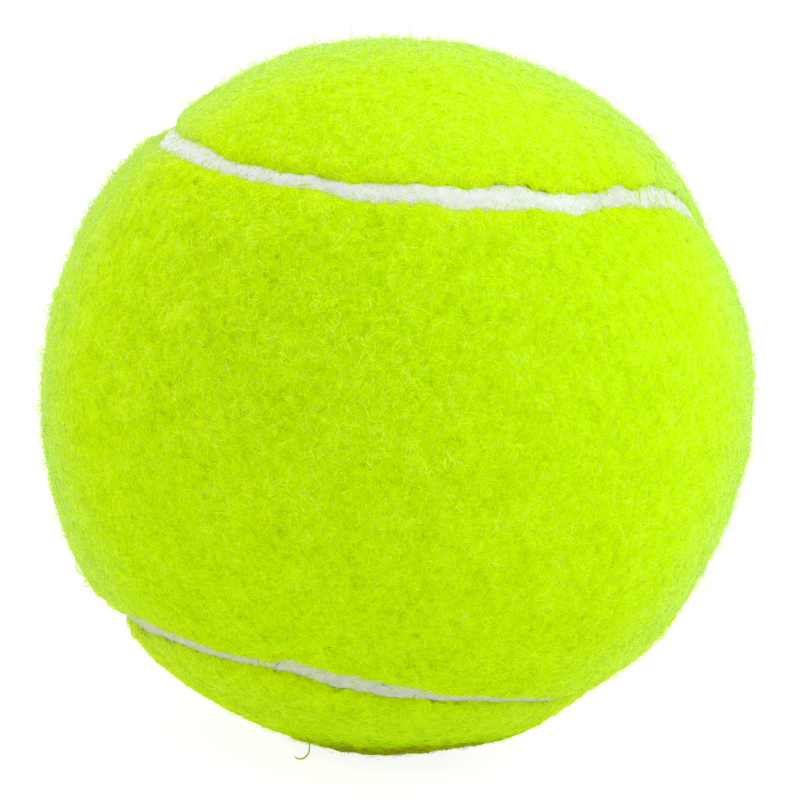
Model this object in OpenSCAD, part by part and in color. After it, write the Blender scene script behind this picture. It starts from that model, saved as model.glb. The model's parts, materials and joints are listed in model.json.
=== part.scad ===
// Tennis ball: a hollow rubber core of two half shells, two interlocking dog-bone felt panels
// and the closed strip of seam rubber between them.
// The seam's centre line is four circular arcs on the ball, each tangent to the next.
// The origin is the ball's centre. Panel a has its round ends over +Z and -Z and its waist at +Y.
// Panel b has its round ends over +X and -X and its waist at -Y.

/* [Ball] */
// Diameter over the felt
ball_d = 67; // [64:0.5:75]
// Width of a panel's waist, straight across between the seam's centre lines
waist_w = 45.5; // [38:0.5:50]

/* [Felt panels] */
// Thickness of the felt, woven base and nap together
felt_t = 3.1; // [2.4:0.1:4]
// Radius of the soft rim where the felt rolls down to the seam
rim_r = 3; // [2:0.1:4.5]
// Thickness of the cement coat on the back of a panel
backing_t = 0.15; // [0.1:0.05:0.4]

/* [Seam strip] */
// Width of the gap between the panels, which the strip fills
seam_w = 2.4; // [1.4:0.1:3.6]
// Depth of the strip's edges below the ball's surface
seam_depth = 1.3; // [0.6:0.1:1.9]
// Radius of the strip's crowned top
seam_crown_r = 3.6; // [2.5:0.1:12]

/* [Core] */
// Wall of the rubber core
core_wall = 3.4; // [2.5:0.1:5]
// Thickness of the rubber coat around the core
coat_t = 0.15; // [0.1:0.05:0.4]
// Thickness of the cement layer between the half shells
joint_t = 0.3; // [0.1:0.05:0.6]
// Radius of the cement bead along the inside of the joint
joint_bead_r = 0.8; // [0.5:0.1:1.6]

/* [Hidden] */
$fn = 160;

felt_color = "#bfee00";
seam_color = "#e6e3e8";
cement_color = "#d8cfae";
joint_color = "#c9a86a";
core_color = "#4a4b50";

// Radii of the layers, from the felt's surface inwards
ball_r = ball_d / 2;
felt_in_r = ball_r - felt_t;
backing_in_r = felt_in_r - backing_t;
core_r = backing_in_r - coat_t;
core_in_r = core_r - core_wall;

// Angles of the seam's centre line. A panel's round end is a circle on the ball. Its centre lies
// lobe_angle away from the middle of the other panel's waist, and its radius is seam_angle.
// Neighbouring circles touch, which ties the two angles to the waist's width.
tangent_share = 1 / sqrt(2);
waist_angle = asin(waist_w / ball_d);
lobe_angle = atan2(cos(waist_angle), tangent_share - sin(waist_angle));
seam_angle = lobe_angle - waist_angle;
lobe_tilt = 90 - lobe_angle;
// Each arc runs on past the point where it touches the next one by a small angle, so that the
// four arcs join without a gap
arc_overlap = 0.2;
arc_half_angle = 90 + atan(cos(lobe_angle)) + arc_overlap;

// The seam's section, in a plane through the ball's centre: u is across the seam and v is outwards
half_w = seam_w / 2;
edge_v = ball_r - seam_depth;
edge_r = norm([half_w, edge_v]);
crown_v = edge_v - sqrt(seam_crown_r * seam_crown_r - half_w * half_w);
overrun = 1;
top_v = ball_r + overrun;

// The rim's circle passes through the strip's edge and crosses the ball's surface at rim_angle
rim_angle = 8;
rim_centre_r = sqrt(ball_r * ball_r + rim_r * rim_r - 2 * ball_r * rim_r * cos(rim_angle));
rim_turn = acos((rim_centre_r * rim_centre_r + edge_r * edge_r - rim_r * rim_r)
                / (2 * rim_centre_r * edge_r));
rim_centre_angle = atan(half_w / edge_v) + rim_turn;
rim_u = rim_centre_r * sin(rim_centre_angle);
rim_v = rim_centre_r * cos(rim_centre_angle);

// The sections of neighbouring arcs are set off from each other by a hair's breadth, so that
// their walls meet in a tiny step and never along a tangent line
step_u = 0.01;
step_v = 0.03;

// A ball with this radius and distance from the centre stands square to the surface along the seam
end_ball_r = ball_r * tan(seam_angle);
end_ball_reach = ball_r / cos(seam_angle);

// A spherical shell around the origin
module shell(outer_r, inner_r) {
    difference() {
        sphere(r = outer_r);
        sphere(r = inner_r);
    }
}

// Turns and mirrors what belongs to panel a into its place on panel b
module to_panel_b() {
    mirror([0, 1, 0])
        rotate([0, 90, 0])
            children();
}

// Places what belongs to panel a's round end over +Z at the top (side 0) or the underside (side 1)
module at_end(side) {
    mirror([0, 0, side])
        rotate([lobe_tilt, 0, 0])
            children();
}

// Sweeps a seam section along the arc around one of panel a's round ends
module along_arc_a(side, $shift_u = 0, $shift_v = 0) {
    at_end(side)
        rotate_extrude(angle = 2 * arc_half_angle, start = -90 - arc_half_angle)
            rotate(-seam_angle)
                children();
}

// Sweeps a seam section along the arc around one of panel b's round ends
module along_arc_b(side) {
    to_panel_b()
        along_arc_a(side, $shift_u = step_u, $shift_v = step_v)
            children();
}

// Sweeps a seam section along the whole closed seam
module along_seam() {
    for (side = [0, 1]) {
        along_arc_a(side) children();
        along_arc_b(side) children();
    }
}

// The gap between the panels, with straight walls
module gap_section() {
    translate([$shift_u - half_w, backing_in_r - overrun])
        square([seam_w, top_v - backing_in_r + overrun]);
}

// The valley over the seam, between the rolled rims of the two panels
module valley_section() {
    translate([$shift_u, $shift_v])
        difference() {
            translate([-rim_u, rim_v])
                square([2 * rim_u, top_v - rim_v]);
            for (side = [-1, 1])
                translate([side * rim_u, rim_v])
                    circle(r = rim_r);
        }
}

// The strip of seam rubber, seated on the coat of the core and crowned on top
module strip_section() {
    difference() {
        intersection() {
            gap_section();
            translate([$shift_u, crown_v + $shift_v])
                circle(r = seam_crown_r);
        }
        circle(r = backing_in_r);
    }
}

// The ball that holds one of panel a's round ends, widened by a length
module end_ball(side, widened) {
    at_end(side)
        translate([0, 0, end_ball_reach])
            sphere(r = end_ball_r + widened);
}

// All the space that belongs to panel a: its round ends, and the back half without panel b's ends.
// Its border runs inside the gap between the panels.
module panel_region() {
    for (side = [0, 1])
        end_ball(side, half_w / 2);
    difference() {
        translate([-top_v, 0, -top_v])
            cube([2 * top_v, top_v, 2 * top_v]);
        for (side = [0, 1])
            to_panel_b()
                end_ball(side, 0);
    }
}

// The share of a layer of the ball that lies in the region given as children, up to the gap's walls
module panel_layer(outer_r, inner_r) {
    intersection() {
        difference() {
            shell(outer_r, inner_r);
            along_seam() gap_section();
        }
        children();
    }
}

// Rolls the felt's rim along the seam arc around one of panel a's round ends
module rolled_along_a(side) {
    difference() {
        children();
        along_arc_a(side) valley_section();
    }
}

// Rolls the felt's rim along the seam arc around one of panel b's round ends
module rolled_along_b(side) {
    difference() {
        children();
        along_arc_b(side) valley_section();
    }
}

// A felt panel in the region given as children, with its rim rolled along all four arcs
module felt_panel() {
    color(felt_color)
        rolled_along_b(1) rolled_along_b(0) rolled_along_a(1) rolled_along_a(0)
            panel_layer(ball_r, felt_in_r)
                children();
}

// The cement on the back of the felt panel in the region given as children
module panel_cement() {
    color(cement_color)
        panel_layer(felt_in_r, backing_in_r)
            children();
}

module felt_panel_a() {
    felt_panel() panel_region();
}

module felt_panel_b() {
    felt_panel() to_panel_b() panel_region();
}

module panel_cement_a() {
    panel_cement() panel_region();
}

module panel_cement_b() {
    panel_cement() to_panel_b() panel_region();
}

module seam_strip() {
    color(seam_color)
        along_seam()
            strip_section();
}

module core_cement() {
    color(cement_color)
        shell(backing_in_r, core_r);
}

// Half of the core's wall, with its rim set back for the joint and coved for the bead
module half_shell_section() {
    difference() {
        circle(r = core_r);
        circle(r = core_in_r);
        translate([-core_r, -core_r])
            square([core_r, 2 * core_r]);
        translate([-overrun, -core_r])
            square([core_r + 2 * overrun, core_r + joint_t / 2]);
        translate([core_in_r, 0])
            circle(r = joint_bead_r);
    }
}

module core_shell_upper() {
    color(core_color)
        rotate_extrude()
            half_shell_section();
}

module core_shell_lower() {
    mirror([0, 0, 1])
        core_shell_upper();
}

module core_joint() {
    color(joint_color)
        rotate_extrude() {
            intersection() {
                circle(r = core_r);
                translate([core_in_r, -joint_t / 2])
                    square([core_wall + overrun, joint_t]);
            }
            translate([core_in_r, 0])
                circle(r = joint_bead_r);
        }
}

core_shell_lower();
core_shell_upper();
core_joint();
core_cement();
panel_cement_a();
panel_cement_b();
felt_panel_a();
felt_panel_b();
seam_strip();
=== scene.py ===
import json
import math

import bmesh
import bpy
import numpy as np
from mathutils import Matrix, Vector


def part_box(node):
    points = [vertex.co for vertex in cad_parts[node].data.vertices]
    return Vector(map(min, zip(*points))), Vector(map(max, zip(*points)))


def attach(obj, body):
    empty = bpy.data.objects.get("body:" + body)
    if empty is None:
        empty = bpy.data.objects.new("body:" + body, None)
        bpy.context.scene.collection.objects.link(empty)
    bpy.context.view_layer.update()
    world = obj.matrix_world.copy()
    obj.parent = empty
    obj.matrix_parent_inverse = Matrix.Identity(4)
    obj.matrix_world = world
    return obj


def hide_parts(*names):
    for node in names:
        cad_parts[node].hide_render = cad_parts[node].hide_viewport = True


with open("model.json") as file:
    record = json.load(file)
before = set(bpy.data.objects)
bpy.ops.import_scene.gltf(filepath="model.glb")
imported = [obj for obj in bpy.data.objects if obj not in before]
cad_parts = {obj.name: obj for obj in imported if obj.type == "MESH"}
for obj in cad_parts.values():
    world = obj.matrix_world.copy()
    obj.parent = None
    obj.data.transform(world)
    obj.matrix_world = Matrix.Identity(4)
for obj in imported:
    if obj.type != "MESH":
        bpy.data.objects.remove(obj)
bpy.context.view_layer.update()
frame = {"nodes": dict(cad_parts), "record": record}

# Sizes are in metres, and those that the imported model's boxes give are read from them. The seam's sizes
# are those of the CAD model.
MM = 0.001
BALL_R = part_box("felt_panel_a")[1].z
FELT_BACK_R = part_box("panel_cement_a")[1].z
STRIP_BACK_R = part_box("core_cement")[1].z
WAIST_W = 45.5 * MM
SEAM_W = 2.4 * MM
SEAM_DEPTH = 1.3 * MM
STRIP_CROWN = 0.2 * MM

# How far the felt's woven surface lies under the tips of its nap, and how far from its edge it starts
# to roll down to the strip
NAP_H = 0.45 * MM
RIM_REACH = 2.6 * MM

# The seam: four circular arcs on the ball, as in the CAD model
TANGENT_SHARE = 1 / math.sqrt(2)
WAIST_ANGLE = math.asin(WAIST_W / (2 * BALL_R))
LOBE_ANGLE = math.atan2(math.cos(WAIST_ANGLE), TANGENT_SHARE - math.sin(WAIST_ANGLE))
SEAM_ANGLE = LOBE_ANGLE - WAIST_ANGLE
ARC_HALF_ANGLE = math.pi / 2 + math.atan(math.cos(LOBE_ANGLE))
LOBE_COS, LOBE_SIN = math.cos(LOBE_ANGLE), math.sin(LOBE_ANGLE)

# Each arc: the centre of its round end, the direction from there to the arc's middle, and the
# direction in which the seam runs. Places along the seam count the arcs, from 0 to the seam's end.
ARCS = (
    ((0, -LOBE_COS, LOBE_SIN), (0, -LOBE_SIN, -LOBE_COS), (-1, 0, 0)),
    ((-LOBE_SIN, LOBE_COS, 0), (LOBE_COS, LOBE_SIN, 0), (0, 0, -1)),
    ((0, -LOBE_COS, -LOBE_SIN), (0, -LOBE_SIN, LOBE_COS), (1, 0, 0)),
    ((LOBE_SIN, LOBE_COS, 0), (-LOBE_COS, LOBE_SIN, 0), (0, 0, 1)),
)
ARC_CENTRES, ARC_MIDDLES, ARC_COURSES = (np.array(column, float) for column in zip(*ARCS))
SEAM_END = len(ARCS)

# The camera, from the photograph: its angles in degrees, its distance, its lens and sensor in
# millimetres, its shift in shares of the image and the range that it sees in metres
CAMERA_AZIMUTH, CAMERA_ELEVATION, CAMERA_ROLL = 39.44, 10.43, 6.67
CAMERA_DISTANCE = 14 * BALL_R
CAMERA_LENS_MM, SENSOR_MM = 225.54, 36
CAMERA_SHIFT = (0.0049, -0.0069)
CAMERA_RANGE = (0.01, 10)


def camera_axes():
    """The camera's right, up and back directions in the part's frame."""
    az, el, roll = (math.radians(x) for x in (CAMERA_AZIMUTH, CAMERA_ELEVATION, CAMERA_ROLL))
    back = Vector((math.sin(az) * math.cos(el), -math.cos(az) * math.cos(el), math.sin(el)))
    level = Vector((math.cos(az), math.sin(az), 0))
    upright = back.cross(level)
    right = level * math.cos(roll) + upright * math.sin(roll)
    return right, back.cross(right), back


def make_camera():
    """The camera that took the photograph, looking at the ball's middle."""
    right, up, back = camera_axes()
    data = bpy.data.cameras.new("camera")
    data.sensor_width = SENSOR_MM
    data.lens = CAMERA_LENS_MM
    data.shift_x, data.shift_y = CAMERA_SHIFT
    data.clip_start, data.clip_end = CAMERA_RANGE
    camera = bpy.data.objects.new("camera", data)
    turn = Matrix((right, up, back)).transposed().to_4x4()
    camera.matrix_world = Matrix.Translation(back * CAMERA_DISTANCE) @ turn
    bpy.context.scene.collection.objects.link(camera)
    bpy.context.scene.camera = camera


def unit(v):
    """Vectors brought to length 1."""
    return v / np.linalg.norm(v, axis=-1, keepdims=True)


# What the photograph shows of the seam: the place along it and then, in millimetres, how far the strip
# strays from the even line (over 0 towards panel a) and how far from the strip's middle the felt of
# panel a and the felt of panel b start, and last how much painted shade greys the strip, standing in for
# the shade of the felt that overhangs it. The rest of the seam is even.
SEAM_SHAPES = (
    (0.000, 0.00, 1.28, 1.28, 0.50),
    (0.035, -0.15, 0.88, 0.88, 0.50),
    (0.077, -0.25, 1.28, 1.28, 0.00),
    (0.113, -0.10, 1.18, 1.08, 0.00),
    (0.145, 0.50, 1.58, 1.58, 0.00),
    (0.179, 0.45, 1.58, 1.58, 0.00),
    (0.211, 0.30, 1.38, 1.38, 0.00),
    (0.242, 0.25, 1.28, 1.28, 0.00),
    (0.272, 0.45, 0.98, 0.98, 0.00),
    (0.302, 0.10, 1.18, 1.18, 0.00),
    (0.332, -0.15, 1.08, 1.08, 0.00),
    (0.362, -0.20, 1.08, 1.08, 0.00),
    (0.395, 0.00, 0.78, 0.78, 0.00),
    (0.429, 0.10, 0.98, 0.98, 0.00),
    (0.463, -0.10, 0.98, 0.98, 0.00),
    (0.502, -0.05, 1.03, 1.03, 0.00),
    (0.544, -0.25, 0.88, 0.88, 0.00),
    (0.605, 0.05, 1.18, 1.18, 0.00),
    (0.664, -0.15, 1.18, 1.18, 0.00),
    (0.715, -0.40, 1.28, 1.28, 0.00),
    (0.746, -0.70, 1.28, 1.28, 0.00),
    (0.850, -0.30, 1.20, 1.20, 0.00),
    (1.000, 0.00, 1.20, 1.20, 0.00),
    (2.100, 0.00, 1.20, 1.20, 0.20),
    (2.300, 0.30, 1.50, 1.50, 0.80),
    (2.362, 0.10, 1.50, 1.50, 1.00),
    (2.413, -0.40, 1.40, 1.40, 1.00),
    (2.448, -0.50, 1.10, 1.10, 1.00),
    (2.484, -0.30, 1.10, 1.10, 1.00),
    (2.516, -0.15, 0.95, 0.95, 1.00),
    (2.560, -0.10, 0.80, 0.80, 1.00),
    (2.603, -0.30, 0.65, 0.65, 1.00),
    (2.617, -0.55, 1.00, 1.00, 1.00),
    (2.630, -0.75, 1.25, 1.25, 1.00),
    (2.645, -0.70, 1.35, 1.35, 1.00),
    (2.662, -0.35, 1.35, 1.35, 1.00),
    (2.690, 0.05, 1.35, 1.35, 1.00),
    (2.729, 0.35, 1.35, 1.35, 1.00),
    (2.755, 0.75, 1.40, 1.40, 1.00),
    (2.774, 0.80, 1.45, 1.45, 1.00),
    (2.793, 0.85, 1.10, 1.10, 1.00),
    (2.814, 1.00, 0.95, 0.95, 1.00),
    (2.834, 1.00, 0.92, 0.92, 1.00),
    (2.869, 0.95, 0.85, 0.85, 1.00),
    (2.946, 1.20, 0.80, 0.80, 1.00),
    (3.050, 2.20, 0.75, 0.75, 1.00),
    (3.200, 1.80, 1.00, 1.00, 0.50),
    (3.500, 1.00, 1.20, 1.20, 0.00),
    (3.750, 2.30, 1.60, 1.60, 0.50),
    (3.801, 2.50, 2.10, 2.10, 0.50),
    (3.839, 1.90, 1.80, 1.80, 0.50),
    (3.869, 1.40, 1.70, 1.70, 0.50),
    (3.910, 0.70, 1.60, 1.60, 0.50),
    (3.958, -0.20, 1.28, 1.28, 0.50),
    (3.991, 0.25, 1.33, 1.33, 0.50),
    (4.000, 0.00, 1.28, 1.28, 0.50),
)
SEAM_PLACES, SEAM_STRAYS, FELT_STARTS_A, FELT_STARTS_B, STRIP_PAINTED_SHADE = zip(*SEAM_SHAPES)


def seam_shape(place):
    """At places: the strip's stray from the even line, and how far from its middle each felt starts."""
    columns = (SEAM_STRAYS, FELT_STARTS_A, FELT_STARTS_B)
    return [np.interp(place, SEAM_PLACES, column) * MM for column in columns]


def seam_place(directions):
    """For unit directions: the signed distance from the strip's middle along the ball's surface,
    over 0 on panel a, and the place along the seam."""
    cosines = np.stack([directions @ centre for centre in ARC_CENTRES], axis=1)
    on_a = directions[:, 1] >= 0
    nearest = np.where(
        on_a,
        np.where(cosines[:, 1] > cosines[:, 3], 1, 3),
        np.where(cosines[:, 0] > cosines[:, 2], 0, 2),
    )
    inside = SEAM_ANGLE - np.arccos(np.clip(cosines[np.arange(len(nearest)), nearest], -1, 1))
    offset = BALL_R * np.where(on_a, -inside, inside)
    along = (directions * ARC_COURSES[nearest]).sum(1)
    outward = (directions * ARC_MIDDLES[nearest]).sum(1)
    turn = np.arctan2(along, outward)
    place = nearest + np.clip(0.5 + turn / (2 * ARC_HALF_ANGLE), 0, 1)
    return offset - seam_shape(place)[0], place


def on_seam(place, offset):
    """Unit directions at places along the seam and signed distances from the strip's middle."""
    offset = offset + seam_shape(place)[0]
    arc = np.minimum(place.astype(int), SEAM_END - 1)
    turn = (place - arc - 0.5) * 2 * ARC_HALF_ANGLE
    side = np.where(arc % 2 == 0, 1.0, -1.0)
    reach = SEAM_ANGLE - side * offset / BALL_R
    outward = np.cos(turn)[:, None] * ARC_MIDDLES[arc] + np.sin(turn)[:, None] * ARC_COURSES[arc]
    return np.cos(reach)[:, None] * ARC_CENTRES[arc] + np.sin(reach)[:, None] * outward


# How many plane waves make a field of ripples, and how much their frequencies vary, as shares
RIPPLE_WAVES = 40
RIPPLE_SHARES = (0.7, 1.4)


class Ripples:
    """A smooth random field with features of about one size, as a sum of plane waves."""

    def __init__(self, rng, size):
        self.directions = unit(rng.normal(size=(RIPPLE_WAVES, 3))) * 2 * math.pi / size
        self.directions *= rng.uniform(*RIPPLE_SHARES, (RIPPLE_WAVES, 1))
        self.phases = rng.uniform(0, 2 * math.pi, RIPPLE_WAVES)

    def __call__(self, points):
        """The field's value at points, about 1 in size."""
        total = np.zeros(len(points))
        for direction, phase in zip(self.directions, self.phases):
            total += np.cos(points @ direction + phase)
        return total * math.sqrt(2 / RIPPLE_WAVES)


# Felt that bulges or is worn down on the outline, as the photograph shows: the place round the
# outline in degrees, anticlockwise from the right, and the height. Then how far a lump spreads.
OUTLINE_LUMPS = (
    (14, 0.2 * MM), (25, -0.35 * MM), (46, 0.45 * MM), (59, 0.2 * MM), (80, -0.1 * MM),
    (108, 0.1 * MM), (124, -0.25 * MM), (142, 0.25 * MM), (159, -0.25 * MM), (174, -0.3 * MM),
    (207, 0.4 * MM), (219, 0.15 * MM), (226, 0.3 * MM), (241, 0.35 * MM), (256, 0.25 * MM),
    (266, 0.5 * MM), (276, 0.25 * MM), (290, 0.6 * MM), (302, -0.15 * MM), (316, 0.25 * MM),
    (334, -0.4 * MM), (354, 0.05 * MM),
)
LUMP_SPREAD = math.radians(6)

# The seeds of all that is random, and the felt's own unevenness: ripples of a size, each with its height
SURFACE_SEED, STRIP_SEED, NAP_SEED = 7, 11, 23
surface_rng = np.random.default_rng(SURFACE_SEED)
SWELLS = (
    (Ripples(surface_rng, 14 * MM), 0.05 * MM),
    (Ripples(surface_rng, 5 * MM), 0.05 * MM),
    (Ripples(surface_rng, 2.2 * MM), 0.03 * MM),
    (Ripples(surface_rng, 1.1 * MM), 0.02 * MM),
)
# The same for the felt's edge, and the shares of its distance from the seam's line that it stays between
EDGE_WAVES = (
    (Ripples(surface_rng, 9 * MM), 0.06 * MM),
    (Ripples(surface_rng, 3 * MM), 0.1 * MM),
    (Ripples(surface_rng, 1.2 * MM), 0.07 * MM),
)
EDGE_LIMIT_SHARES = (0.6, 1.5)


def summed(relief, points):
    """The sum, at points, of ripples that are each paired with a height."""
    return sum(height * ripples(points) for ripples, height in relief)


def outline_lumps(directions):
    """The height of the lumps on the outline along unit directions."""
    right, up = (np.array(v) for v in camera_axes()[:2])
    total = np.zeros(len(directions))
    for place, height in OUTLINE_LUMPS:
        angle = math.radians(place)
        centre = math.cos(angle) * right + math.sin(angle) * up
        away = np.arccos(np.clip(directions @ centre, -1, 1))
        total += height * np.exp(-((away / LUMP_SPREAD) ** 2) / 2)
    return total


def felt_edge(place, side):
    """How far from the strip's middle the felt starts. side is 1 for panel a, -1 for panel b and
    between them for what lies on the strip."""
    start_a, start_b = seam_shape(place)[1:]
    start = np.where(np.greater(side, 0), start_a, start_b)
    foot = on_seam(place, np.zeros(len(place))) * BALL_R + np.multiply(side, SEAM_W)[..., None]
    return start * np.clip(1 + summed(EDGE_WAVES, foot) / (SEAM_W / 2), *EDGE_LIMIT_SHARES)


def into_felt(directions):
    """The distance of unit directions from the nearest felt edge, over 0 in the felt."""
    offset, place = seam_place(directions)
    return np.abs(offset) - felt_edge(place, offset)


def felt_radius(directions):
    """The radius of the felt's surface, without its nap, along unit directions."""
    total = np.full(len(directions), BALL_R - NAP_H)
    total += outline_lumps(directions)
    total += summed(SWELLS, directions * BALL_R)
    roll = np.clip(1 - into_felt(directions) / RIM_REACH, 0, 1)
    drop = SEAM_DEPTH - NAP_H
    return total - drop * (1 - np.sqrt(1 - roll**2))


def add_piece(mesh, name, material, replaced=()):
    """A visible piece on the ball, with its material, instead of the replaced nodes."""
    piece = bpy.data.objects.new(name, mesh)
    bpy.context.scene.collection.objects.link(piece)
    mesh.materials.append(material)
    mesh.shade_smooth()
    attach(piece, "root")
    if replaced:
        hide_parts(*replaced)
    return piece


def mesh_of(name, points, triangles):
    """A mesh of triangles from arrays."""
    mesh = bpy.data.meshes.new(name)
    mesh.vertices.add(len(points))
    mesh.vertices.foreach_set("co", np.ascontiguousarray(points, np.float32).ravel())
    mesh.loops.add(3 * len(triangles))
    mesh.loops.foreach_set("vertex_index", np.ascontiguousarray(triangles, np.int32).ravel())
    mesh.polygons.add(len(triangles))
    mesh.polygons.foreach_set("loop_start", np.arange(0, 3 * len(triangles), 3, dtype=np.int32))
    mesh.update(calc_edges=True)
    return mesh


def set_values(mesh, name, values):
    """Gives the mesh a named value at each point, which its material reads."""
    attribute = mesh.attributes.new(name, "FLOAT", "POINT")
    attribute.data.foreach_set("value", values.astype(np.float32))


def sphere_grid(subdivisions):
    """Unit directions and triangles of an icosphere."""
    grid = bmesh.new()
    bmesh.ops.create_icosphere(grid, subdivisions=subdivisions, radius=1)
    mesh = bpy.data.meshes.new("grid")
    grid.to_mesh(mesh)
    grid.free()
    directions = np.zeros(3 * len(mesh.vertices), np.float32)
    mesh.vertices.foreach_get("co", directions)
    triangles = np.zeros(3 * len(mesh.polygons), np.int32)
    mesh.polygons.foreach_get("vertices", triangles)
    bpy.data.meshes.remove(mesh)
    return unit(directions.reshape(-1, 3).astype(float)), triangles.reshape(-1, 3)


def edges_of(triangles):
    """The three edges of each triangle, in the direction that they run round it."""
    return np.concatenate([triangles[:, [0, 1]], triangles[:, [1, 2]], triangles[:, [2, 0]]])


def rim_loop(triangles):
    """The one closed loop of open edges round a sheet of triangles, in order."""
    edges = edges_of(triangles)
    keys = np.sort(edges, axis=1)
    first, uses = np.unique(keys, axis=0, return_index=True, return_counts=True)[1:]
    following = dict(map(tuple, edges[first[uses == 1]]))
    start = next(iter(following))
    loop = [start]
    while following[loop[-1]] != start:
        loop.append(following[loop[-1]])
    assert len(loop) == len(following), f"{len(loop)} of {len(following)} rim edges lie in one loop"
    return np.array(loop)


def unpinched(triangles):
    """The triangles without those where the sheet's rim touches itself, and the rim's points."""
    while True:
        keys, uses = np.unique(np.sort(edges_of(triangles), axis=1), axis=0, return_counts=True)
        rim, rim_uses = np.unique(keys[uses == 1], return_counts=True)
        pinched = rim[rim_uses > 2]
        if not len(pinched):
            return triangles, rim
        triangles = triangles[~np.isin(triangles, pinched).any(axis=1)]


def panel_sheet(side, subdivisions):
    """One panel's share of the sphere, with its rim on the felt's edge: directions, triangles, rim loop."""
    directions, triangles = sphere_grid(subdivisions)
    offset, place = seam_place(directions)
    depth = into_felt(directions)
    inside = (depth > 0) & (offset * side > 0)
    mostly_inside = inside[triangles].sum(axis=1) >= 2
    kept, rim = unpinched(triangles[mostly_inside])
    directions[rim] = on_seam(place[rim], side * felt_edge(place[rim], side))
    used, kept = np.unique(kept, return_inverse=True)
    kept = kept.reshape(-1, 3)
    return directions[used], kept, rim_loop(kept)


def zipped(outer, inner, outer_place, inner_place):
    """Triangles between two closed loops that run the same way, by their places from 0 to 1."""
    outer, outer_place = np.append(outer, outer[0]), np.append(outer_place, 1)
    inner, inner_place = np.append(inner, inner[0]), np.append(inner_place, 1)
    triangles = []
    i, j = 0, 0
    while i + 1 < len(outer) or j + 1 < len(inner):
        inner_done = j + 1 == len(inner)
        if inner_done or (i + 1 < len(outer) and outer_place[i + 1] <= inner_place[j + 1]):
            triangles.append((inner[j], outer[i], outer[i + 1]))
            i += 1
        else:
            triangles.append((outer[i], inner[j + 1], inner[j]))
            j += 1
    return np.array(triangles)


# Subdivisions of the icospheres that the front and the back of a panel are cut from
FELT_GRID, BACK_GRID = ((8, 6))


def started_at_seam(directions, loop):
    """The loop turned round to run with the seam from its lowest place, its places from 0 to 1, and
    whether it ran that way before."""
    place = seam_place(directions[loop])[1]
    half = SEAM_END / 2
    steps = (np.roll(place, -1) - place + half) % SEAM_END - half
    forward = steps.sum() > 0
    if not forward:
        loop, place = loop[::-1], place[::-1]
    start = int(np.argmin(place))
    loop, place = np.roll(loop, -start), np.roll(place, -start)
    late = np.arange(len(place)) > len(place) / 2
    place = np.where((place < 1) & late, SEAM_END, place)
    place = np.where((place > SEAM_END - 1) & ~late, 0, place)
    return loop, np.maximum.accumulate(place) / SEAM_END, forward


def felt_panel(name, side, cad_node, material):
    """A closed felt panel: a lumpy surface with rolled rims, walls along the strip and a plain back."""
    front, front_triangles, front_loop = panel_sheet(side, FELT_GRID)
    back, back_triangles, back_loop = panel_sheet(side, BACK_GRID)
    points = np.concatenate([front * felt_radius(front)[:, None], back * FELT_BACK_R])
    front_loop, front_place, forward = started_at_seam(front, front_loop)
    back_loop, back_place = started_at_seam(back, back_loop)[:2]
    wall = zipped(front_loop, back_loop + len(front), front_place, back_place)
    if forward:
        wall = wall[:, ::-1]
    triangles = np.concatenate([front_triangles, back_triangles[:, ::-1] + len(front), wall])
    mesh = mesh_of(name, points, triangles)
    # The felt's tone carries its painted light and shade
    set_values(mesh, "tone", np.concatenate([shade(front)[0], np.zeros(len(back))]))
    return add_piece(mesh, name, material, (cad_node,))


# Rows of points along the strip of seam rubber, points in each, and the ripples on its crowned top as
# pairs of a size and a height
STRIP_ROWS = 1600
STRIP_COLUMNS = 13
STRIP_RELIEF = ((1.4 * MM, 0.025 * MM), (0.5 * MM, 0.012 * MM))


def seam_strip(material):
    """The strip of seam rubber: crowned, uneven and as wide as the gap between the panels."""
    rng = np.random.default_rng(STRIP_SEED)
    relief = [(Ripples(rng, size), height) for size, height in STRIP_RELIEF]
    rows = np.repeat(np.linspace(0, SEAM_END, STRIP_ROWS, endpoint=False), STRIP_COLUMNS)
    across = np.tile(np.linspace(-1, 1, STRIP_COLUMNS), STRIP_ROWS)
    top = on_seam(rows, across * felt_edge(rows, across))
    height = BALL_R - SEAM_DEPTH + STRIP_CROWN * (1 - across**2) + summed(relief, top * BALL_R)
    under = top[np.abs(across) == 1] * STRIP_BACK_R
    points = np.concatenate([top * height[:, None], under])
    index = np.arange(STRIP_ROWS * STRIP_COLUMNS).reshape(STRIP_ROWS, STRIP_COLUMNS)
    under_index = index.size + 2 * np.arange(STRIP_ROWS)[:, None]
    ring = np.concatenate([index, under_index + 1, under_index], axis=1)
    a, b = ring, np.roll(ring, -1, axis=0)
    c, d = np.roll(b, -1, axis=1), np.roll(a, -1, axis=1)
    triangles = np.concatenate([np.stack(t, -1).reshape(-1, 3) for t in ((a, c, b), (a, d, c))])
    mesh = mesh_of("seam_strip_rubber", points, triangles)
    # Painted shade that greys the strip in places
    strip_shade = np.interp(rows, SEAM_PLACES, STRIP_PAINTED_SHADE)
    set_values(mesh, "strip_shade", np.concatenate([strip_shade, strip_shade[np.abs(across) == 1]]))
    return add_piece(mesh, "seam_strip_rubber", material, ("seam_strip",))


# A fibre's rings of points between its two tips, and the points in each ring
RINGS = 3
RING_SIDES = 3
MOST_FIBRES_A_PIECE = 10000
# How far a fibre may reach over the strip, the band along the felt's edge, from just outside it, in
# which edge fibres grow, and powers of the random numbers. The powers crowd these fibres, and those
# fallen on the strip, at the edge.
MOST_OVERHANG, OVERHANG_POWER = 1.3 * MM, 2
EDGE_BAND, EDGE_POWER = (-0.15 * MM, 1.4 * MM), 1.2
STRIP_POWER = 2
# Under the ball the nap is pressed down: between two heights in ball radii, to a share of its rise
PRESSED = (-0.95, -0.6)
PRESSED_SHARE = 0.35
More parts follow.
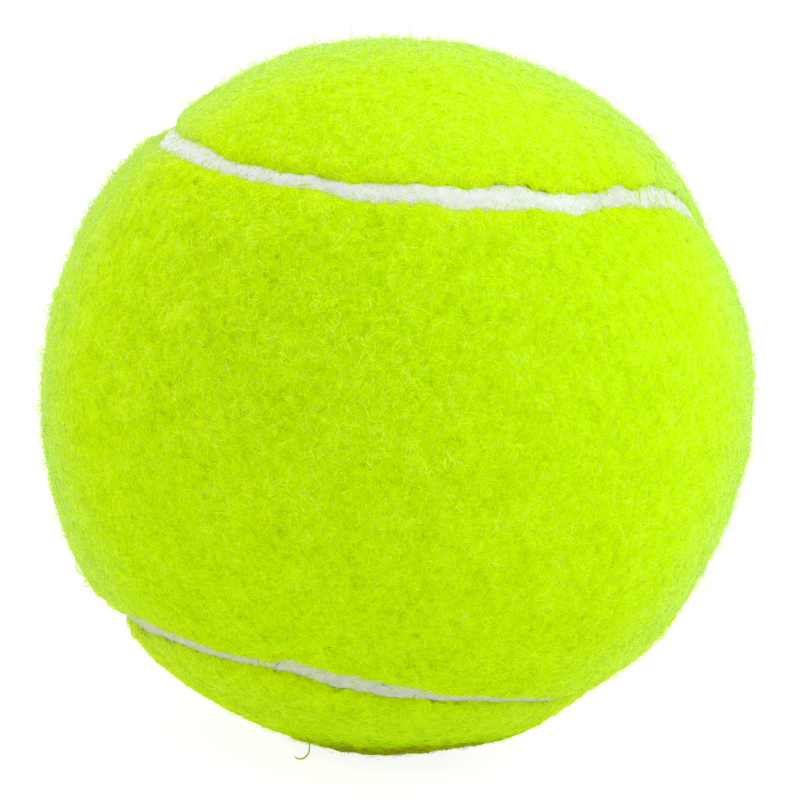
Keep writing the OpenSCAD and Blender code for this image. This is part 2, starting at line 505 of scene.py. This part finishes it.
# How much fibres differ: in length, as the spread of its logarithm, in thickness, as shares, and in
# rise, as the shape of a gamma distribution around 1
LENGTH_SPREAD = 0.3
THICKNESS_SHARES = (0.7, 1.3)
RISE_SHAPE = 2.0
# A fibre curls in one bend and a smaller wave, which runs through some radians along it. Most fibres are
# arches, and the rest rise to a loose end by a power. Their ends lie a little under the felt's surface.
WAVE_SHARE, WAVE_RADIANS = 0.35, 7
ARCH_SHARE = 0.98
LOOSE_END_POWER = 1.3
ROOT_DEPTH = 0.03 * MM


def scattered_roots(rng, count):
    """Unit directions all over the felt."""
    roots = unit(rng.normal(size=(count, 3)))
    return roots[into_felt(roots) > 0]


def edge_roots(rng, count):
    """Unit directions along the felt's edges, more of them near the strip."""
    place = rng.uniform(0, SEAM_END, count)
    side = rng.choice((-1.0, 1.0), count)
    start, end = EDGE_BAND
    reach = felt_edge(place, side) + start + (end - start) * rng.random(count) ** EDGE_POWER
    return on_seam(place, side * reach)


def strip_roots(rng, count):
    """Unit directions on the strip, most of them near its edges."""
    place = rng.uniform(0, SEAM_END, count)
    side = rng.choice((-1.0, 1.0), count)
    return on_seam(place, side * felt_edge(place, side) * (1 - rng.random(count) ** STRIP_POWER))


# Kinds of nap fibre: how many on the whole ball, length, thickness, rise over the felt's surface,
# the range of tones from 0, deep, to 1, pale, and how strongly they curl
NAP_KINDS = (
    ("ground", 90000, 1.2 * MM, 0.085 * MM, 0.12 * MM, (0.12, 0.85), 1.0),
    ("loose", 18000, 1.7 * MM, 0.05 * MM, 0.24 * MM, (0.5, 0.96), 0.8),
    ("fuzz", 60000, 0.8 * MM, 0.024 * MM, 0.48 * MM, (0.6, 1.0), 0.8),
    ("stray", 400, 1.8 * MM, 0.03 * MM, 0.5 * MM, (0.7, 0.95), 0.7),
    ("edge", 26000, 1.1 * MM, 0.055 * MM, 0.15 * MM, (0.0, 0.8), 1.1),
    ("fallen", 6000, 0.4 * MM, 0.06 * MM, 0.04 * MM, (-0.1, 0.4), 1.5),
)
ROOTS = {"edge": edge_roots, "fallen": strip_roots}
# Single fibres that the photograph shows, from one place to another, in ball radii to the right of
# and above the ball's middle, with their bow, their thickness and their tone
LONE_FIBRES = (
    (-0.335, -0.757, -0.318, -0.737, 0.002, 0.16 * MM, -0.25),
    (0.044, -0.842, 0.058, -0.832, 0.002, 0.14 * MM, -0.2),
    (-0.309, -0.795, -0.301, -0.754, 0.004, 0.08 * MM, 0.8),
    (-0.245, -0.775, -0.215, -0.792, 0.003, 0.08 * MM, 0.6),
    (-0.235, -0.796, -0.205, -0.772, -0.003, 0.07 * MM, 0.7),
    (0.665, 0.588, 0.680, 0.528, 0.004, 0.12 * MM, 0.4),
    (0.682, 0.592, 0.673, 0.535, 0.003, 0.10 * MM, 0.6),
    (0.700, 0.580, 0.712, 0.530, -0.003, 0.10 * MM, 0.3),
    (0.728, 0.570, 0.722, 0.528, 0.003, 0.09 * MM, 0.5),
    (0.752, 0.560, 0.765, 0.515, 0.003, 0.10 * MM, 0.5),
    (0.560, 0.585, 0.556, 0.545, -0.003, 0.08 * MM, 0.2),
    (0.487, 0.556, 0.497, 0.530, 0.002, 0.09 * MM, 0.1),
    (-0.560, 0.700, -0.545, 0.672, 0.002, 0.08 * MM, 0.3),
    (-0.691, 0.569, -0.689, 0.497, 0.002, 0.07 * MM, 0.95),
)
LONE_RISE = 0.1 * MM
# The hair that curls out from under the ball: the middle of its curl in ball radii to the right of and
# above the ball's middle, its radii across and up, the turn it makes in radians, and how far in front
# of the ball's middle it starts, in the nap, and ends
HAIR_MIDDLE = (-0.262, -0.970)
HAIR_RADII = (0.024, 0.032)
HAIR_TURN = (2.2, -2.4)
HAIR_DEPTHS = (0.15, 0.25)
HAIR_POINTS = 16
HAIR_THICKNESS, HAIR_TONE = 0.13 * MM, -0.15


def ground_radius(directions):
    """The radius of what fibres lie on along unit directions: the felt, or the strip's top."""
    return np.maximum(felt_radius(directions), BALL_R - SEAM_DEPTH + STRIP_CROWN)


def fibre_paths(rng, roots, length, rise, curl):
    """Curly paths that start and end near the felt's surface: an array of fibres x points x 3."""
    count = len(roots)
    steps = RINGS + 1
    share = (np.arange(steps) + 0.5) / steps - 0.5
    helper = unit(rng.normal(size=(count, 3)))
    level = unit(np.cross(roots, helper))
    across = np.cross(roots, level)
    long = length * rng.lognormal(0, LENGTH_SPREAD, count)
    bend = rng.normal(0, curl, count) / MM
    wave = rng.normal(0, WAVE_SHARE * curl, count)
    phase = rng.uniform(0, 2 * math.pi, count)
    ripple = wave[:, None] * np.sin(WAVE_RADIANS * share + phase[:, None])
    heading = (bend * long)[:, None] * share + ripple
    step = (long / steps)[:, None, None]
    plan = np.cos(heading)[..., None] * level[:, None] + np.sin(heading)[..., None] * across[:, None]
    plan = np.concatenate([np.zeros((count, 1, 3)), np.cumsum(plan * step, axis=1)], axis=1)
    plan -= plan.mean(axis=1, keepdims=True)
    t = np.linspace(0, 1, steps + 1)
    arched = 1 - (2 * t - 1) ** 2
    is_arch = rng.random(count) < ARCH_SHARE
    shape = np.where(is_arch[:, None], arched, t**LOOSE_END_POWER)
    upright = np.clip((roots[:, 2] - PRESSED[0]) / (PRESSED[1] - PRESSED[0]), PRESSED_SHARE, 1)
    taller = upright * rng.gamma(RISE_SHAPE, 1 / RISE_SHAPE, count)
    height = rise * taller[:, None] * shape - ROOT_DEPTH
    places = unit(roots[:, None] * BALL_R + plan)
    ground = ground_radius(places.reshape(-1, 3)).reshape(count, -1)
    return places * (ground + height)[..., None]


def off_strip(rng, paths):
    """The paths that reach over the strip by no more than a random length."""
    count = len(paths)
    depth = into_felt(unit(paths).reshape(-1, 3)).reshape(count, -1).min(axis=1)
    return paths[depth > -MOST_OVERHANG * rng.random(count) ** OVERHANG_POWER]


def lone_paths():
    """The paths of the single fibres, laid over the ball as the camera sees them."""
    right, up, back = (np.array(v) for v in camera_axes())
    share = np.linspace(0, 1, RINGS + 2)
    paths = []
    for fibre in LONE_FIBRES:
        x0, y0, x1, y1, bow = fibre[:5]
        span = math.hypot(x1 - x0, y1 - y0)
        bend = bow * 4 * share * (1 - share) / span
        x = x0 + (x1 - x0) * share - (y1 - y0) * bend
        y = y0 + (y1 - y0) * share + (x1 - x0) * bend
        depth = np.sqrt(1 - x**2 - y**2)
        directions = x[:, None] * right + y[:, None] * up + depth[:, None] * back
        paths.append(directions * (ground_radius(directions) + LONE_RISE)[:, None])
    return np.array(paths)


def hair_path():
    """The path of the curling hair."""
    turn = np.linspace(*HAIR_TURN, HAIR_POINTS)
    x = HAIR_MIDDLE[0] + HAIR_RADII[0] * np.cos(turn)
    y = HAIR_MIDDLE[1] + HAIR_RADII[1] * np.sin(turn)
    course = np.stack([x, y, np.linspace(*HAIR_DEPTHS, HAIR_POINTS)], axis=-1)
    return (course @ np.array(camera_axes()) * BALL_R)[None]


def spindles(paths, thickness, rng):
    """Closed tubes with pointed ends along the paths: each tube's points and the triangles of one tube.
    The thickness is one for all paths or one for each."""
    count, steps = paths.shape[:2]
    rings = steps - 2
    inner = paths[:, 1:-1]
    tangent = unit(paths[:, 2:] - paths[:, :-2])
    side = unit(np.cross(tangent, inner))
    over = np.cross(side, tangent)
    thick = thickness * rng.uniform(*THICKNESS_SHARES, count)
    roll = rng.uniform(0, 2 * math.pi, count)
    angles = (roll[:, None] + 2 * math.pi * np.arange(RING_SIDES) / RING_SIDES)[:, None, :, None]
    around = np.cos(angles) * over[:, :, None] + np.sin(angles) * side[:, :, None]
    ring = around * (thick / 2)[:, None, None, None] + inner[:, :, None]
    points = np.concatenate([paths[:, :1], ring.reshape(count, -1, 3), paths[:, -1:]], axis=1)
    last = 1 + rings * RING_SIDES
    template = []
    for k in range(RING_SIDES):
        following = (k + 1) % RING_SIDES
        template.append((0, 1 + k, 1 + following))
        template.append((last, last - RING_SIDES + following, last - RING_SIDES + k))
        for r in range(rings - 1):
            here, there = 1 + r * RING_SIDES, 1 + (r + 1) * RING_SIDES
            template.append((here + k, there + k, here + following))
            template.append((here + following, there + k, there + following))
    return points, np.array(template)


# Patches of deeper and paler felt: ripples of a size, each with its tone. Where one more field passes
# a level, the felt has pits, in which the tone drops as painted shade.
TONE_PATCHES = (
    (Ripples(surface_rng, 6 * MM), 0.035),
    (Ripples(surface_rng, 2.2 * MM), 0.05),
    (Ripples(surface_rng, 1.1 * MM), 0.055),
)
PITS = Ripples(surface_rng, 1.3 * MM)
PIT_LEVEL, PIT_SHADE_DEPTH = 1.7, 0.3
# Felt that is open and deep or matted and pale, with painted light and shade: paler towards the top and
# the right, darker towards the lower left and underneath, and small dark spots of painted shade in pits,
# as the photograph shows: the place in ball radii to the right of and above the ball's middle, the reach in
# radians, the tone and the added contrast
FELT_PLACES = (
    (-0.35, 0.12, 0.30, -0.05, 0.9),
    (0.00, -0.10, 0.20, 0.00, 0.5),
    (0.65, 0.05, 0.30, 0.08, -0.45),
    (0.40, -0.45, 0.25, 0.03, -0.45),
    (0.10, 0.75, 0.25, 0.22, 0.0),
    (0.35, 0.75, 0.20, 0.18, 0.0),
    (-0.72, 0.38, 0.20, 0.04, 0.2),
    (-0.45, 0.78, 0.15, 0.16, 0.0),
    (-0.50, -0.50, 0.30, -0.07, 0.0),
    (0.00, -0.80, 0.35, -0.10, 0.0),
    (0.85, 0.25, 0.20, 0.20, -0.3),
    (0.80, -0.30, 0.20, 0.12, -0.3),
    (-0.131, 0.143, 0.009, -0.6, 0.0),
    (-0.089, -0.182, 0.007, -0.6, 0.0),
    (-0.306, -0.013, 0.012, -0.35, 0.0),
    (-0.059, 0.093, 0.008, 0.5, 0.0),
    (0.039, -0.128, 0.010, 0.4, 0.0),
    (-0.713, 0.511, 0.012, 0.5, 0.0),
    (-0.825, 0.433, 0.015, 0.5, 0.0),
    (-0.697, 0.410, 0.012, 0.5, 0.0),
    (-0.574, 0.391, 0.014, 0.5, 0.0),
    (-0.727, 0.274, 0.012, 0.5, 0.0),
    (-0.582, 0.218, 0.014, 0.5, 0.0),
    (-0.850, 0.207, 0.018, 0.5, 0.0),
    (-0.752, 0.063, 0.010, 0.6, 0.0),
)
# Painted shadow where the ball rests on the floor: the felt darkens round its lowest point. Its middle, off
# the lowest point in ball radii along X and Y, the degrees from there up to which it is fully dark and
# beyond which it is clear, its tone, and the power that fades it
CONTACT_SHADE_PLACE = (0.10, 0.08)
CONTACT_SHADE_START, CONTACT_SHADE_END = 17, 29
CONTACT_SHADE_TONE = -1.3
CONTACT_SHADE_POWER = 1.5


def shade(directions):
    """The felt's tone, off its middle, with its painted light and shade, and the contrast of its fibres,
    along unit directions.
    """
    points = directions * BALL_R
    tone = summed(TONE_PATCHES, points)
    # Painted shade in the felt's pits
    tone -= PIT_SHADE_DEPTH * np.clip(PITS(points) - PIT_LEVEL, 0, None)
    right, up, back = (np.array(v) for v in camera_axes())
    contrast = np.ones(len(directions))
    # Open or matted felt, and painted light and shade, by place
    for x, y, reach, paler, stronger in FELT_PLACES:
        centre = x * right + y * up + math.sqrt(1 - x * x - y * y) * back
        away = np.arccos(np.clip(directions @ centre, -1, 1))
        share = np.exp(-((away / reach) ** 2) / 2)
        tone += paler * share
        contrast += stronger * share
    # Painted shadow round the point where the ball rests
    foot = np.array((*CONTACT_SHADE_PLACE, -1.0))
    tilt = np.degrees(np.arccos(np.clip(directions @ unit(foot), -1, 1)))
    tone += CONTACT_SHADE_TONE * np.clip((CONTACT_SHADE_END - tilt) / (CONTACT_SHADE_END - CONTACT_SHADE_START), 0, 1) ** CONTACT_SHADE_POWER
    return tone, contrast


# A fibre is at most as pale as its kind or as this. It is at least of tone 0 or, where painted shade
# darkens the felt, where the ball rests or in a pit, paler than the felt there by this.
PALE_TONE = 0.88
PIT_TONE = 0.3
# The share of the fibres' colours that lies under tone 0, for the painted shade where the ball rests and
# in deep pits, and for the darkest fibres
UNDER_ZERO_SHARE = 0.3
# The fibres' chart: a row of cells, one for each tone, and in its cell each triangle of a fibre of that
# tone, with corners that stay clear of the cell's sides
PALETTE_CELLS = 32
CHART_CORNERS = np.array(((-0.2, 0.3), (0.2, 0.3), (0, 0.7)))


def fibre_tones(rng, kind, tones, middles):
    """The tones of fibres of a kind, from its range of tones and the felt's at the fibres' middles."""
    # The felt's tone at the fibres, with its painted light and shade
    patch, contrast = shade(middles)
    tone = np.mean(tones) + (rng.uniform(*tones, len(middles)) - np.mean(tones)) * contrast
    lowest = np.minimum(patch + PIT_TONE, 0) if kind != "fallen" else tones[0]
    return np.clip(tone + patch, lowest, max(tones[1], PALE_TONE))


def nap_of_kind(rng, row, material):
    """All fibres of one kind, on both panels, in pieces of limited size."""
    kind, count, length, thickness, rise, tones, curl = row
    share = 1
    roots = ROOTS.get(kind, scattered_roots)(rng, int(count * share))
    paths = fibre_paths(rng, roots, length, rise, curl)
    if kind != "fallen":
        paths = off_strip(rng, paths)
    middles = unit(paths[:, len(paths[0]) // 2])
    tone = fibre_tones(rng, kind, tones, middles)
    points, template = spindles(paths, thickness, rng)
    offset = seam_place(middles)[0]
    for side, panel in ((1, "a"), (-1, "b")):
        chosen = np.flatnonzero(offset * side > 0)
        parts = max(1, math.ceil(len(chosen) / MOST_FIBRES_A_PIECE))
        for number, part in enumerate(np.array_split(chosen, parts), 1):
            fibre_mesh(f"nap_{kind}_{panel}_{number}", points[part], template, tone[part], material)


def single_fibres(rng, material):
    """The fibres that are placed one by one, and the hair."""
    thickness, tone = (np.array(column) for column in list(zip(*LONE_FIBRES))[-2:])
    points, template = spindles(lone_paths(), thickness, rng)
    fibre_mesh("nap_lone", points, template, tone, material)
    points, template = spindles(hair_path(), HAIR_THICKNESS, rng)
    fibre_mesh("nap_hair", points, template, np.array([HAIR_TONE]), material)


def nap(material):
    """The whole nap of both panels."""
    rng = np.random.default_rng(NAP_SEED)
    for row in NAP_KINDS:
        nap_of_kind(rng, row, material)
    single_fibres(rng, material)


def fibre_mesh(name, points, template, tone, material):
    """One piece of nap, from its fibres' points, the triangles of one fibre and each fibre's tone. It
    casts no shadow and throws no light back on the felt, because real nap is finer and lets light by."""
    count, corners = points.shape[:2]
    tone = np.clip(UNDER_ZERO_SHARE + (1 - UNDER_ZERO_SHARE) * tone, 0, 1)
    triangles = template[None] + corners * np.arange(count)[:, None, None]
    mesh = mesh_of(name, points.reshape(-1, 3), triangles.reshape(-1, 3))
    set_values(mesh, "tone", np.repeat(tone, corners))
    cell = np.minimum((tone * PALETTE_CELLS).astype(int), PALETTE_CELLS - 1)
    uv = np.zeros((count, len(template), 3, 2))
    uv[..., 0] = (cell[:, None, None] + 0.5 + CHART_CORNERS[:, 0]) / PALETTE_CELLS
    uv[..., 1] = CHART_CORNERS[:, 1]
    layer = mesh.uv_layers.new(name="OFBake")
    layer.data.foreach_set("uv", uv.astype(np.float32).ravel())
    piece = add_piece(mesh, name, material)
    piece.visible_diffuse = False
    piece.visible_shadow = False


# Soft specks and fine grain: the noise's detail and roughness, the places of the two colours in the
# noise, and the relief's strength
SPECK_NOISE = (4, 0.6)
SPECK_PLACES = (0.35, 0.65)
GRAIN_NOISE = (2, 0.5)
GRAIN_STRENGTH = 0.6


class Nodes:
    """A material under construction: short calls that add nodes and link them."""

    def __init__(self, name):
        self.material = bpy.data.materials.new(name)
        self.material.use_nodes = True
        self.tree = self.material.node_tree
        self.shader = self.tree.nodes["Principled BSDF"]

    def add(self, kind, **settings):
        """A new node of a kind, with its settings."""
        node = self.tree.nodes.new(kind)
        for key, value in settings.items():
            setattr(node, key, value)
        return node

    def link(self, source, target):
        """Carries a node's output to an input."""
        self.tree.links.new(source, target)

    def set(self, values):
        """Plain values for the shader, by the names of its inputs."""
        for name, value in values.items():
            self.shader.inputs[name].default_value = value

    def noise(self, size, detail, roughness, distortion=0.0):
        """A noise texture in the part's own coordinates, with features of about one size in metres."""
        place = self.add("ShaderNodeTexCoord")
        texture = self.add("ShaderNodeTexNoise")
        texture.inputs["Scale"].default_value = 1 / size
        texture.inputs["Detail"].default_value = detail
        texture.inputs["Roughness"].default_value = roughness
        texture.inputs["Distortion"].default_value = distortion
        self.link(place.outputs["Object"], texture.inputs["Vector"])
        return texture.outputs["Fac"]

    def ramp(self, factor, stops):
        """Colours along a factor: pairs of a place and a linear colour."""
        node = self.add("ShaderNodeValToRGB")
        elements = node.color_ramp.elements
        while len(elements) < len(stops):
            elements.new(0.5)
        for element, (place, colour) in zip(elements, stops):
            element.position = place
            element.color = (*colour, 1)
        self.link(factor, node.inputs["Fac"])
        return node.outputs["Color"]

    def map_range(self, value, numbers):
        """A value carried smoothly from one range to another: from, from, to, to."""
        node = self.add("ShaderNodeMapRange", interpolation_type="SMOOTHSTEP")
        for name, number in zip(("From Min", "From Max", "To Min", "To Max"), numbers):
            node.inputs[name].default_value = number
        self.link(value, node.inputs["Value"])
        return node.outputs["Result"]

    def sheen_at_limb(self):
        """Sheen where the ball's surface is seen at a low angle, whichever way its fibres lie."""
        place = self.add("ShaderNodeNewGeometry")
        outward = self.add("ShaderNodeVectorMath", operation="NORMALIZE")
        self.link(place.outputs["Position"], outward.inputs[0])
        angle = self.add("ShaderNodeLayerWeight")
        self.link(outward.outputs[0], angle.inputs["Normal"])
        height = self.add("ShaderNodeSeparateXYZ")
        self.link(outward.outputs[0], height.inputs[0])
        both = self.add("ShaderNodeMath", operation="MULTIPLY")
        self.link(self.map_range(angle.outputs["Facing"], SHEEN_RISE), both.inputs[0])
        # Painted shade: the sheen fades out lower on the ball
        self.link(self.map_range(height.outputs["Z"], SHEEN_BY_HEIGHT), both.inputs[1])
        self.link(both.outputs[0], self.shader.inputs["Sheen Weight"])

    def grain(self, size, height):
        """A fine uneven surface, with grains of a size and of a height."""
        node = self.add("ShaderNodeBump")
        node.inputs["Distance"].default_value = height
        node.inputs["Strength"].default_value = GRAIN_STRENGTH
        self.link(self.noise(size, *GRAIN_NOISE), node.inputs["Height"])
        self.link(node.outputs["Normal"], self.shader.inputs["Normal"])


# Linear colours of the felt and its fibres, from the darkest, which also paints the shadow where the ball
# rests and the shade in pits, through deep to pale, and of the strip, clean and under painted shade
FELT_DARK_AND_SHADOWED = (0.20, 0.24, 0.002)
FELT_DARK_AND_PIT_SHADE = (0.35, 0.62, 0.0)
FELT_DEEP = (0.43, 0.73, 0.0)
FELT_LIME = (0.51, 0.86, 0.0)
FELT_LIGHT = (0.56, 0.93, 0.001)
FELT_PALE = (0.61, 0.97, 0.03)
FELT_FROST = (0.65, 0.98, 0.13)
SEAM_WHITES = ((0.72, 0.73, 0.68), (0.79, 0.81, 0.76))
SEAM_SHADED = ((0.52, 0.53, 0.42), (0.62, 0.62, 0.53))
# The felt under the nap: its strands, as a noise's size, detail, roughness and distortion, how strongly
# the patches of tone, with their painted light and shade, show, and its colours by tone
FELT_STRANDS = (0.7 * MM, 5, 0.7, 1.2)
PATCH_SHARE = 0.6
FELT_STOPS = ((0, FELT_DARK_AND_SHADOWED), (0.25, FELT_DARK_AND_PIT_SHADE), (0.4, FELT_DEEP), (0.65, FELT_LIME))
FELT_FINISH = {"Roughness": 0.95, "Specular IOR Level": 0.03}
# The nap's colours by tone. Red and green light seep through its fibres, and blue light doesn't.
NAP_STOPS = (
    (0, FELT_DARK_AND_PIT_SHADE), (0.25, FELT_DEEP), (0.5, FELT_LIME),
    (0.75, FELT_LIGHT), (PALE_TONE, FELT_PALE), (1, FELT_FROST),
)
NAP_FINISH = {
    "Roughness": 0.7,
    "Specular IOR Level": 0.0,
    "Subsurface Weight": 1.0,
    "Subsurface Scale": 0.1 * MM,
    "Subsurface Radius": (1, 1, 0),
    "Sheen Tint": (0.62, 1.0, 0.85, 1),
    "Sheen Roughness": 0.5,
}
# The sheen's rise from one angle to another, in Layer Weight's terms, and its weights there
SHEEN_RISE = (0.5, 0.93, 0.0, 1.0)
# Less of it lower on the ball, by the height in ball radii: painted shade that keeps the floor's light from
# showing as sheen underneath
SHEEN_BY_HEIGHT = (-0.95, -0.2, 0.0, 1.0)
# The strip's specks, and its grain as a size and a height
STRIP_SPECK = 0.8 * MM
STRIP_GRAIN = (0.4 * MM, 0.05 * MM)
STRIP_FINISH = {"Roughness": 0.9, "Specular IOR Level": 0.05}


def felt_material():
    """The felt under its nap: matted wool in shades of lime."""
    n = Nodes("felt")
    # The felt's tone, with its painted light and shade
    patches = n.add("ShaderNodeAttribute", attribute_name="tone")
    tone = n.add("ShaderNodeMath", operation="MULTIPLY_ADD")
    n.link(patches.outputs["Fac"], tone.inputs[0])
    tone.inputs[1].default_value = PATCH_SHARE
    n.link(n.noise(*FELT_STRANDS), tone.inputs[2])
    n.link(n.ramp(tone.outputs[0], FELT_STOPS), n.shader.inputs["Base Color"])
    n.set(FELT_FINISH)
    return n.material


def nap_material():
    """The nap's fibres, from deep to pale by each fibre's tone."""
    n = Nodes("felt_nap")
    tone = n.add("ShaderNodeAttribute", attribute_name="tone")
    stops = [(UNDER_ZERO_SHARE + (1 - UNDER_ZERO_SHARE) * t, colour) for t, colour in NAP_STOPS]
    # The darkest colour is also the painted shade where the ball rests and in pits
    colour = n.ramp(tone.outputs["Fac"], [(0, FELT_DARK_AND_SHADOWED), *stops])
    n.link(colour, n.shader.inputs["Base Color"])
    n.set(NAP_FINISH)
    n.sheen_at_limb()
    return n.material


def seam_material():
    """The strip of seam rubber: off-white, and greyer where painted shade lies on it."""
    n = Nodes("seam_rubber")
    specks = n.noise(STRIP_SPECK, *SPECK_NOISE)
    clean = n.ramp(specks, list(zip(SPECK_PLACES, SEAM_WHITES)))
    # Painted shade: the strip greys where the overhanging felt would shade it
    shaded = n.ramp(specks, list(zip(SPECK_PLACES, SEAM_SHADED)))
    mixed = n.add("ShaderNodeMix", data_type="RGBA")
    strip_shade = n.add("ShaderNodeAttribute", attribute_name="strip_shade")
    n.link(strip_shade.outputs["Fac"], mixed.inputs[0])
    n.link(clean, mixed.inputs[6])
    n.link(shaded, mixed.inputs[7])
    n.link(mixed.outputs[2], n.shader.inputs["Base Color"])
    n.grain(*STRIP_GRAIN)
    n.set(STRIP_FINISH)
    return n.material


# Inside the ball: a deep and a pale colour, the size of the specks, the height of the grain and the
# roughness. The gloss, and how much finer the grain is than the specks, are the same for all.
INNER_FINISHES = {
    "core_rubber": ((0.055, 0.055, 0.06), (0.085, 0.085, 0.09), 1.5 * MM, 0.05 * MM, 0.8),
    "rubber_cement": ((0.52, 0.44, 0.27), (0.66, 0.58, 0.40), 2.5 * MM, 0.04 * MM, 0.55),
    "joint_cement": ((0.38, 0.25, 0.09), (0.52, 0.37, 0.16), 1.2 * MM, 0.04 * MM, 0.45),
}
INNER_GLOSS = 0.3
GRAINS_A_SPECK = 3


def inner_material(slot, deep, pale, speck, height, roughness):
    """Matt rubber or cured cement: two shades in soft specks with a fine uneven surface."""
    n = Nodes(slot)
    specks = n.ramp(n.noise(speck, *SPECK_NOISE), list(zip(SPECK_PLACES, (deep, pale))))
    n.link(specks, n.shader.inputs["Base Color"])
    n.grain(speck / GRAINS_A_SPECK, height)
    n.set({"Roughness": roughness, "Specular IOR Level": INNER_GLOSS})
    return n.material


def dress_inner_nodes():
    """Procedural finishes for the CAD nodes inside the ball, by their slot in the record."""
    finishes = {slot: inner_material(slot, *finish) for slot, finish in INNER_FINISHES.items()}
    slots = {row["node"]: row["material_slot"] for row in frame["record"]["subparts"]}
    for name, node in frame["nodes"].items():
        if slots[name] in finishes:
            if not node.material_slots:
                node.data.materials.append(None)
            for material_slot in node.material_slots:
                material_slot.material = finishes[slots[name]]


# The floor's width, its colour and its glow, both first as they light the ball and then as the camera
# sees them, and the white room's light
FLOOR_SIZE = 6.0
FLOOR_ALBEDO, FLOOR_SEEN_ALBEDO = 0.35, 0.3
FLOOR_GLOW, FLOOR_SEEN_GLOW = 0.67, 0.87
WORLD_LIGHT = 0.85


def seen_share(tree):
    """1 for rays from the camera, off a mirror or through glass."""
    path = tree.nodes.new("ShaderNodeLightPath")
    total = path.outputs["Is Camera Ray"]
    for name in ("Is Glossy Ray", "Is Transmission Ray"):
        most = tree.nodes.new("ShaderNodeMath")
        most.operation = "MAXIMUM"
        tree.links.new(total, most.inputs[0])
        tree.links.new(path.outputs[name], most.inputs[1])
        total = most.outputs[0]
    return total


def by_ray(tree, share, lighting, seen):
    """A value that differs between the light on the scene and what is seen."""
    node = tree.nodes.new("ShaderNodeMapRange")
    node.inputs["To Min"].default_value = lighting
    node.inputs["To Max"].default_value = seen
    tree.links.new(share, node.inputs["Value"])
    return node.outputs["Result"]


def make_floor():
    """A white floor that glows to white and keeps the ball's shadow."""
    bpy.ops.mesh.primitive_plane_add(size=FLOOR_SIZE, location=(0, 0, -BALL_R))
    floor = bpy.context.object
    floor.name = "floor"
    material = bpy.data.materials.new("floor")
    material.use_nodes = True
    tree = material.node_tree
    tree.nodes.clear()
    out = tree.nodes.new("ShaderNodeOutputMaterial")
    lit = tree.nodes.new("ShaderNodeBsdfDiffuse")
    glow = tree.nodes.new("ShaderNodeEmission")
    both = tree.nodes.new("ShaderNodeAddShader")
    share = seen_share(tree)
    tree.links.new(by_ray(tree, share, FLOOR_ALBEDO, FLOOR_SEEN_ALBEDO), lit.inputs["Color"])
    tree.links.new(by_ray(tree, share, FLOOR_GLOW, FLOOR_SEEN_GLOW), glow.inputs["Strength"])
    tree.links.new(lit.outputs[0], both.inputs[0])
    tree.links.new(glow.outputs[0], both.inputs[1])
    tree.links.new(both.outputs[0], out.inputs["Surface"])
    floor.data.materials.append(material)


def make_world():
    """A white room, dimmer as a light than it looks."""
    world = bpy.data.worlds.new("white_studio")
    bpy.context.scene.world = world
    world.use_nodes = True
    tree = world.node_tree
    background = tree.nodes["Background"]
    background.inputs["Color"].default_value = (1, 1, 1, 1)
    tree.links.new(by_ray(tree, seen_share(tree), WORLD_LIGHT, 1), background.inputs["Strength"])


# Lamps: how bright a white surface that faces one looks, its colour, its place in ball radii to the
# right of, above and in front of the ball as the camera sees it, and its width in ball radii. The power
# for that brightness is pi squared times the distance squared.
WHITE = (1, 1, 1)
LAMPS = (
    ("key", 0.35, (0.8, 1, 0.98), (11, 7, 3), 8),
    ("top", 0.15, WHITE, (0, 14, -2), 8),
    ("left", 0.08, WHITE, (-13, 3, 0), 8),
    ("back_left", 0.18, WHITE, (-9, 9, -9), 6),
    ("back_right", 0.06, WHITE, (12, 4, -8), 6),
)


def make_lamps():
    """Soft lamps that face the ball."""
    right, up, back = camera_axes()
    for name, level, colour, place, width in LAMPS:
        data = bpy.data.lights.new(name, "AREA")
        data.size = width * BALL_R
        data.color = colour
        position = (right * place[0] + up * place[1] + back * place[2]) * BALL_R
        data.energy = level * math.pi**2 * position.length_squared
        lamp = bpy.data.objects.new(name, data)
        turned = position.to_track_quat("Z", "Y").to_matrix().to_4x4()
        lamp.matrix_world = Matrix.Translation(position) @ turned
        bpy.context.scene.collection.objects.link(lamp)


make_camera()
make_world()
make_lamps()
make_floor()

felt = felt_material()
panel_a = felt_panel("felt_cover_a", 1, "felt_panel_a", felt)
panel_b = felt_panel("felt_cover_b", -1, "felt_panel_b", felt)
seam_strip(seam_material())
nap(nap_material())
dress_inner_nodes()

bpy.context.scene.view_settings.view_transform = "Standard"
